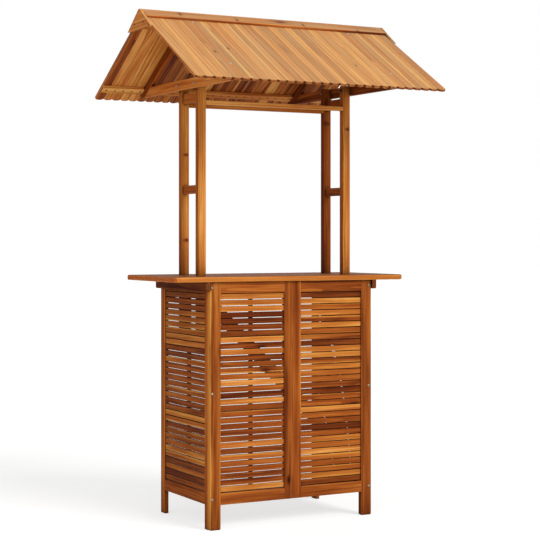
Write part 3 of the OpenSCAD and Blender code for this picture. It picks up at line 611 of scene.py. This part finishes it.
# golden and dark name the slats that stand out, counted from the top
slatBoards = {
    "left_panel_slats": {"tones": (0.34, 0.54), "golden": (0, 2, 7, 9, 14, 17, 24, 31),
                         "dark": (3, 4, 10, 16, 25)},
    "right_panel_slats": {"tones": (0.40, 0.66), "golden": (1, 3, 5, 9, 10, 12, 19, 26),
                          "dark": (0, 8, 16, 22)},
    "left_side_slats": {"tones": (0.40, 0.56), "golden": (7, 8, 11, 20, 26, 27), "goldenTones": (0.60, 0.70),
                        "dark": (0, 9, 10, 18, 22, 28, 30), "darkTones": (0.28, 0.36)},
    "right_side_slats": {"tones": (0.32, 0.6), "golden": (2, 8, 15, 21), "dark": (5, 12, 26)},
}
for seed, (nodeName, look) in enumerate(slatBoards.items()):
    look = {"ease": 0.0012, "seed": 200 + seed, "sap": (0.0, 0.45), **look}
    dressBoards(nodeName, slatWood, look)
print("slats dressed:", len(slatBoards))

# the counter's high tone is partly painted light on its bright front edge, and its top face is painted
# darker
counterBoards = {
    "tones": (0.72, 0.78), "ease": 0.0012, "seed": 31, "order": (0, 1, 0),
    "rim": 0.005, "corner": 0.031,      # the rounding of the outline, and the size of its corners
}
dressBoards("counter_boards", counterWood, counterBoards)
print("counter dressed")

roofSlope = {"plain": True, "notched": True, "endFrom": 0.15, "ease": 0.0018, "order": (1, 0, 0)}
roofBoards = {
    "front_roof_boards": {**roofSlope, "lay": "frontSlope", "tones": (0.46, 0.88), "blush": (0.25, 0.7),
                          "sap": (0.0, 0.5)},
    "rear_roof_boards": {**roofSlope, "lay": "rearSlope", "tones": (0.36, 0.54), "sap": (0.0, 0.2),
                         "golden": (1, 2, 3, 4, 12, 20), "goldenTones": (0.78, 0.90),
                         "dark": (16, 23), "darkTones": (0.30, 0.38)},
    "front_roof_battens": {"lay": "frontSlope", "tones": (0.55, 0.7), "plain": True},
    "rear_roof_battens": {"lay": "rearSlope", "tones": (0.78, 0.86), "plain": True},
    "front_ridge_board": {"lay": "frontSlope", "tones": (0.52, 0.56), "blush": (0.4, 0.5)},
    "rear_ridge_board": {"lay": "rearSlope", "tones": (0.56, 0.62)},
    "left_gable_plate": {"tones": (0.70, 0.74), "grainAxis": 1, "plain": True},
    # the right gable plate's dark tone is painted shade
    "right_gable_plate": {"tones": (0.24, 0.28), "grainAxis": 1, "plain": True},
}
for seed, (nodeName, look) in enumerate(roofBoards.items()):
    dressBoards(nodeName, roofWood, {"ease": 0.0016, "seed": 300 + seed, **look})
print("roof dressed:", len(roofBoards))


# a closed ring of points round the z axis
def ringAt(radius, height, count, sides):
    points = []
    for i in range(count):
        angle = math.tau * i / count
        reach = radius
        if sides:      # radius is then half the width across the flats
            step = math.tau / sides
            reach = radius / math.cos((angle % step) - step / 2)
        points.append(Vector((reach * math.cos(angle), reach * math.sin(angle), height)))
    return points


# a fastener is turned anew on the axis of its CAD solid, where z runs from the crown of the head to the tip
def turnFastener(bm, place, length, shape):
    rings = shape["head"] + [(radius, length - before, sides) for radius, before, sides in shape["tip"]]
    count = shape["count"]
    made = [[bm.verts.new(place @ point) for point in ringAt(radius, height, count, sides)]
            for radius, height, sides in rings]
    for lower, upper in zip(made, made[1:]):
        for i in range(count):
            j = (i + 1) % count
            bm.faces.new((lower[i], lower[j], upper[j], upper[i]))
    bm.faces.new(list(reversed(made[0])))
    bm.faces.new(made[-1])


fastenerCut = {      # lengths in metres, angles in radians
    "weld": 0.00001, "sharp": math.radians(35),
    "head": 0.003,      # this much from the crown is all head
    "steep": 0.8,       # an axis that rises more than this is turned from x, the others from z
}


# where a fastener's head is and which way it points, from the corners of its solid
def measureFastener(points):
    centre = points.mean(0)
    spread = points - centre
    way = np.linalg.svd(spread, full_matrices=False)[2][0]
    reach = spread @ way
    radial = np.linalg.norm(spread - np.outer(reach, way), axis=1)
    if reach[np.argmax(radial)] > 0:       # the axis runs from the head to the tip
        way, reach = -way, -reach
    axisPoint = centre + way * reach.min()
    head = reach < reach.min() + fastenerCut["head"]
    ring = spread[head] - np.outer(reach[head], way)
    axisPoint = axisPoint + (ring.max(0) + ring.min(0)) / 2
    side = np.cross(way, (0, 0, 1) if abs(way[2]) < fastenerCut["steep"] else (1, 0, 0))
    side /= np.linalg.norm(side)
    turn = Matrix((side, np.cross(way, side), way)).transposed().to_4x4()
    return Matrix.Translation(Vector(axisPoint)) @ turn, reach.max() - reach.min()


# count is the number of points in a ring. A ring is its radius, its distance below the crown or before
# the tip, and its number of sides, 0 where it is round
boltShape = {
    "count": 24,
    "head": [(0.0004, 0.0019, 0), (0.002, 0.0019, 6), (0.002, 0.00025, 6), (0.0027, 0.0, 0),
             (0.003575, 0.00022, 0), (0.00507, 0.0009, 0), (0.00611, 0.002, 0),
             (0.0065, 0.0029, 0), (0.0065, 0.0035, 0), (0.003, 0.0035, 0)],
    "tip": [(0.003, 0.0008, 0), (0.00225, 0.0, 0)],
}
screwShape = {
    "count": 16,
    "head": [(0.0006, 0.0009, 0), (0.0015, 0.0003, 0), (0.0018, 0.0, 0), (0.0032, 0.0003, 0),
             (0.004, 0.0009, 0), (0.004, 0.0015, 0), (0.002, 0.0015, 0)],
    "tip": [(0.002, 0.003, 0), (0.0003, 0.0, 0)],
}
capNutShape = {      # it sits over the tip of its bolt
    "count": 24, "head": [],
    "tip": [(0.0075, 0.008, 0), (0.0075, 0.0068, 0), (0.0048, 0.00675, 6), (0.005, 0.0066, 6),
            (0.005, 0.002, 6), (0.0046, 0.0016, 0), (0.0044, 0.0, 0), (0.0034, -0.0018, 0),
            (0.0015, -0.0028, 0)],
}
capNutsAbove = 1.5      # metres: the front bolts over this height have cap nuts


def dressFasteners(nodeName, shape, steel):
    source = bmesh.new()
    source.from_mesh(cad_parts[nodeName].data)
    bmesh.ops.remove_doubles(source, verts=source.verts, dist=fastenerCut["weld"])
    bm = bmesh.new()
    found = []
    for group in splitSolids(source):
        place, length = measureFastener(np.array([tuple(vert.co) for vert in group]))
        turnFastener(bm, place, length, shape)
        found.append((place, length))
    source.free()
    bmesh.ops.recalc_face_normals(bm, faces=bm.faces)
    mesh = bpy.data.meshes.new(nodeName + "_turned")
    bm.to_mesh(mesh)
    bm.free()
    mesh.materials.append(steel)
    mesh.polygons.foreach_set("use_smooth", [True] * len(mesh.polygons))
    mesh.set_sharp_from_angle(angle=fastenerCut["sharp"])
    piece = bpy.data.objects.new(nodeName + "_turned", mesh)
    scene.collection.objects.link(piece)
    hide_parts(nodeName)
    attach(piece, "root")
    return found


dressFasteners("panel_bolts", boltShape, steels["zincPlatedSteel"])
postBolts = dressFasteners("post_bolts", boltShape, steels["zincPlatedSteel"])
dressFasteners("roof_bolts", boltShape, steels["paleZincSteel"])
dressFasteners("roof_screws", screwShape, steels["bronzedSteel"])

# cap nuts on the inner ends of the two front tie beam bolts
nuts = bmesh.new()
for place, length in postBolts:
    if place.translation.z > capNutsAbove and place.translation.y < 0:
        turnFastener(nuts, place, length, capNutShape)
bmesh.ops.recalc_face_normals(nuts, faces=nuts.faces)
nutMesh = bpy.data.meshes.new("tie_bolt_cap_nuts")
nuts.to_mesh(nutMesh)
nuts.free()
nutMesh.materials.append(steels["blackenedSteel"])
capNuts = bpy.data.objects.new("tie_bolt_cap_nuts", nutMesh)
scene.collection.objects.link(capNuts)
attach(capNuts, "root")
print("fasteners turned")


studio = {
    "keyStrength": 2.05, "keyFrom": (0.30, -0.80, 0.58), "keyAngle": 30.0,
    "fillStrength": 0.8, "fillFrom": (-0.85, -0.35, 0.20), "fillAngle": 70.0,
    "backStrength": 0.3, "backFrom": (0.25, 0.90, 0.35), "backAngle": 60.0,
    "lowPower": 150.0, "lowPlace": (-2.6, -5.0, 0.3), "lowAim": (0.0, 0.0, 1.9), "lowSize": 2.6,
    "skyStrength": 0.38, "glossStrength": 0.45, "white": (1.0, 1.0, 1.0, 1.0),
    "floorTint": (0.86, 0.86, 0.85, 1.0), "floorSeen": (0.46, 0.46, 0.455, 1.0), "floorLift": 0.66,
}


def addSun(name, strength, direction, angle):
    data = bpy.data.lights.new(name, "SUN")
    data.energy = strength
    data.angle = math.radians(angle)
    lamp = bpy.data.objects.new(name, data)
    lamp.rotation_euler = Vector(direction).to_track_quat("Z", "Y").to_euler()
    scene.collection.objects.link(lamp)


addSun("keyLight", studio["keyStrength"], studio["keyFrom"], studio["keyAngle"])
addSun("fillLight", studio["fillStrength"], studio["fillFrom"], studio["fillAngle"])
addSun("backLight", studio["backStrength"], studio["backFrom"], studio["backAngle"])

# a low board of light in front, which reaches the underside of the roof
lowData = bpy.data.lights.new("lowLight", "AREA")
lowData.energy = studio["lowPower"]
lowData.size = studio["lowSize"]
lowLamp = bpy.data.objects.new("lowLight", lowData)
lowLamp.location = studio["lowPlace"]
lowWay = Vector(studio["lowPlace"]) - Vector(studio["lowAim"])
lowLamp.rotation_euler = lowWay.to_track_quat("Z", "Y").to_euler()
lowLamp.visible_camera = False
scene.collection.objects.link(lowLamp)

world = bpy.data.worlds.new("studioWorld")
scene.world = world
world.use_nodes = True
sky = world.node_tree
sky.nodes.clear()
rays = put(sky, "LightPath")
level = put(sky, "Mix", {0: rays.outputs["Is Glossy Ray"]}, data_type="FLOAT")
level.inputs[2].default_value = studio["skyStrength"]
level.inputs[3].default_value = studio["glossStrength"]
seen = sums(sky, "MAXIMUM", rays.outputs["Is Camera Ray"], rays.outputs["Is Transmission Ray"])
shown = put(sky, "Mix", {0: seen, 2: level.outputs[0]}, data_type="FLOAT")
shown.inputs[3].default_value = 1.0
glow = put(sky, "Background", {"Color": studio["white"], "Strength": shown.outputs[0]})
put(sky, "OutputWorld", {"Surface": glow.outputs[0]})

floorMesh = bpy.data.meshes.new("studioFloor")
floorMesh.from_pydata([(-40, -40, 0), (40, -40, 0), (40, 40, 0), (-40, 40, 0)], [], [(0, 1, 2, 3)])
floor = bpy.data.objects.new("studioFloor", floorMesh)
scene.collection.objects.link(floor)
floorPaint = bpy.data.materials.new("paleFloor")
floorPaint.use_nodes = True
ground = floorPaint.node_tree
ground.nodes.clear()
seen = put(ground, "LightPath").outputs["Is Camera Ray"]
floorColour = blended(ground, seen, studio["floorTint"], studio["floorSeen"])
floorGlow = sums(ground, "MULTIPLY", seen, studio["floorLift"])
matt = put(ground, "BsdfDiffuse", {"Color": floorColour})
lift = put(ground, "Emission", {"Color": studio["white"], "Strength": floorGlow})
both = put(ground, "AddShader", {0: matt.outputs[0], 1: lift.outputs[0]})
put(ground, "OutputMaterial", {"Surface": both.outputs[0]})
floorMesh.materials.append(floorPaint)
scene.view_settings.view_transform = "Standard"
print("studio lit")
